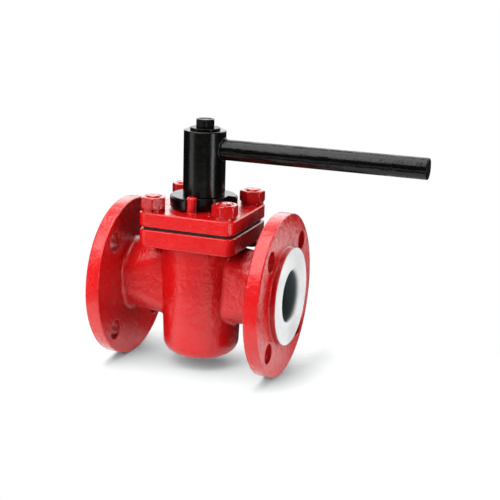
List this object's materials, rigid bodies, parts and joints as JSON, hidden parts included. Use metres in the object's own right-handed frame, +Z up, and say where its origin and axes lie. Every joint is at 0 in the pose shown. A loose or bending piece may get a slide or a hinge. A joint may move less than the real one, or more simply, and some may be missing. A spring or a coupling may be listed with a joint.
{
  "type": "plug valve",
  "caption": "Lined, flanged quarter-turn plug valve with a square bolted bonnet, a notched stop plate and a bar lever on a round hub.",
  "frame": {"origin": "where the pipe's axis crosses the stem's axis, in the middle of the port", "axes": "+X along the pipe towards the flange that the lever stands over while open, +Z up the stem, +Y to the back"},
  "size_m": [0.2954, 0.1524, 0.2332],
  "materials": {
    "red_painted_iron": "thick glossy signal-red enamel over cast iron, with a faint orange peel",
    "red_painted_fastener": "the same glossy red enamel, brushed over the nuts, washers and studs",
    "liner_polymer": "smooth waxy white fluoropolymer",
    "black_painted_steel": "glossy black enamel over a machined hub and plate",
    "black_painted_bar": "satin black enamel over round bar, worn at the end",
    "blackened_fastener": "blackened steel, bright where the spanner has rubbed it",
    "machined_steel": "turned and ground steel",
    "stainless_sheet": "bright thin stainless sheet",
    "bronze": "bored bronze",
    "black_rubber": "matt black elastomer"
  },
  "bodies": {
    "valve_body": {"body": "red_painted_iron", "body_liner": "liner_polymer", "bonnet": "red_painted_iron", "bonnet_gasket": "black_rubber", "ptfe_diaphragm": "liner_polymer", "metal_diaphragm": "stainless_sheet", "delta_ring": "liner_polymer", "thrust_collar": "machined_steel", "stem_seal": "black_rubber", "stem_bush": "bronze", "stop_pin": "red_painted_iron", "stud_1": "red_painted_fastener", "stud_2": "red_painted_fastener", "stud_3": "red_painted_fastener", "stud_4": "red_painted_fastener", "lock_washer_1": "red_painted_fastener", "lock_washer_2": "red_painted_fastener", "lock_washer_3": "red_painted_fastener", "lock_washer_4": "red_painted_fastener", "nut_1": "red_painted_fastener", "nut_2": "red_painted_fastener", "nut_3": "red_painted_fastener", "nut_4": "red_painted_fastener"},
    "plug_and_wrench": {"plug": "machined_steel", "plug_lining": "liner_polymer", "stop_plate": "black_painted_steel", "wrench_hub": "black_painted_steel", "lever_bar": "black_painted_bar", "top_washer": "blackened_fastener", "top_bolt": "blackened_fastener"}
  },
  "joints": [
    {"name": "quarter_turn", "type": "hinge", "parent": "valve_body", "child": "plug_and_wrench", "pos_m": [0, 0, 0.08], "axis": [0, 0, 1], "range_deg": [-90, 0]}
  ]
}
